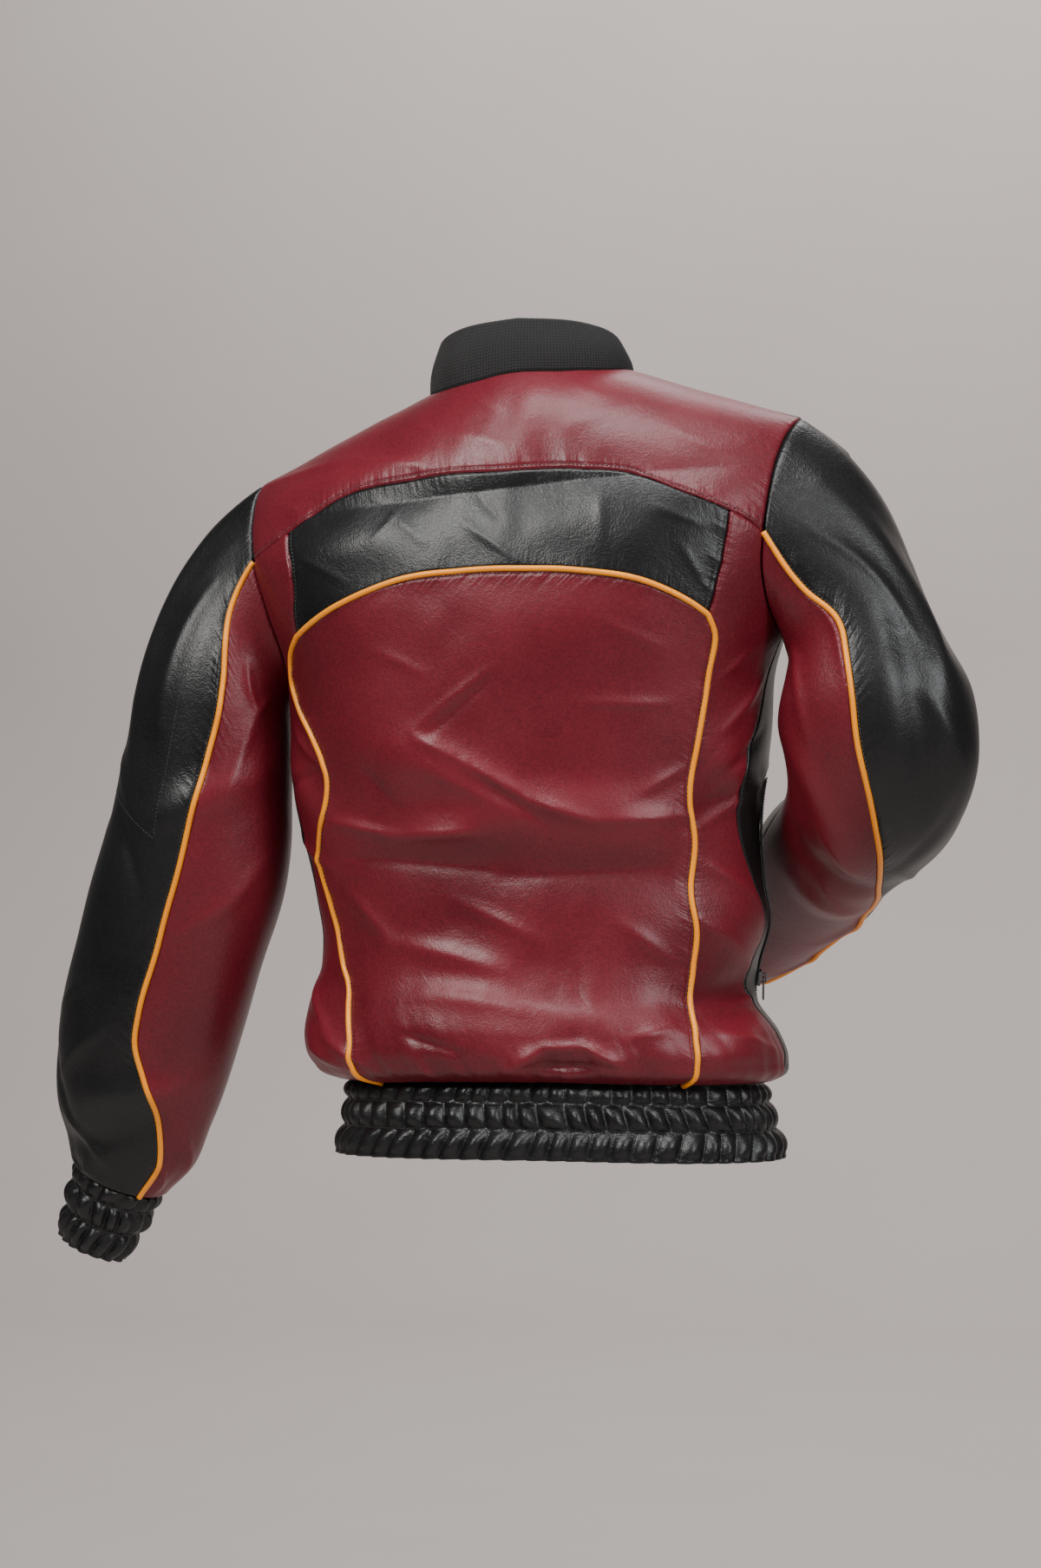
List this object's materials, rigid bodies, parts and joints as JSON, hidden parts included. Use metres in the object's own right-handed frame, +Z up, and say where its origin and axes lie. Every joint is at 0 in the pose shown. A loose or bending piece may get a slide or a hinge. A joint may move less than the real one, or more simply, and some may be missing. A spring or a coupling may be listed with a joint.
{
  "type": "leather jacket",
  "caption": "Short blouson leather jacket in red and black with orange piping, in its worn form, one arm bent; rib collar, gathered waistband and cuffs, hollow throughout.",
  "frame": {"origin": "middle of the base of the neck, where the shoulders of the wearer hold the jacket up", "axes": "+Z up, +Y the way the wearer faces, +X the wearer's right"},
  "size_m": [0.7944, 0.4252, 0.7899],
  "materials": {
    "red_leather": "satin, fine grain",
    "black_leather": "satin, fine grain",
    "orange_piping": "smooth cord",
    "black_rib": "rib knit",
    "zip_tape": "woven tape with a closed chain",
    "zip_metal": "dark plated"
  },
  "bodies": {
    "jacket": {"back_yoke": "red_leather", "back_centre_panel": "red_leather", "back_side_left": "red_leather", "back_side_right": "red_leather", "sleeve_under_left": "red_leather", "sleeve_under_right": "red_leather", "back_upper_panel": "black_leather", "front_left": "black_leather", "front_right": "black_leather", "sleeve_outer_left": "black_leather", "sleeve_outer_right": "black_leather", "cuff_left": "black_leather", "cuff_right": "black_leather", "waistband": "black_leather", "back_piping": "orange_piping", "sleeve_piping_left": "orange_piping", "sleeve_piping_right": "orange_piping", "collar": "black_rib", "front_zip": "zip_tape", "pocket_zip_left": "zip_tape", "pocket_zip_right": "zip_tape", "front_zip_slider": "zip_metal", "pocket_zip_slider_left": "zip_metal", "pocket_zip_slider_right": "zip_metal"},
    "front_pull": {"front_zip_pull": "zip_metal"},
    "pocket_pull_left": {"pocket_zip_pull_left": "zip_metal"},
    "pocket_pull_right": {"pocket_zip_pull_right": "zip_metal"}
  },
  "joints": [
    {"name": "front_pull_swing", "type": "hinge", "parent": "jacket", "child": "front_pull", "pos_m": [0.00059, 0.10939, -0.1019], "axis": [0.9987, 0.0237, 0.0462], "range_deg": [0, 150]},
    {"name": "pocket_pull_left_swing", "type": "hinge", "parent": "jacket", "child": "pocket_pull_left", "pos_m": [-0.18212, 0.03412, -0.48004], "axis": [0.2881, 0.9514, 0.1084], "range_deg": [0, 150]},
    {"name": "pocket_pull_right_swing", "type": "hinge", "parent": "jacket", "child": "pocket_pull_right", "pos_m": [0.18989, 0.03408, -0.47258], "axis": [0.1962, -0.9596, -0.2018], "range_deg": [-5, 150]}
  ]
}
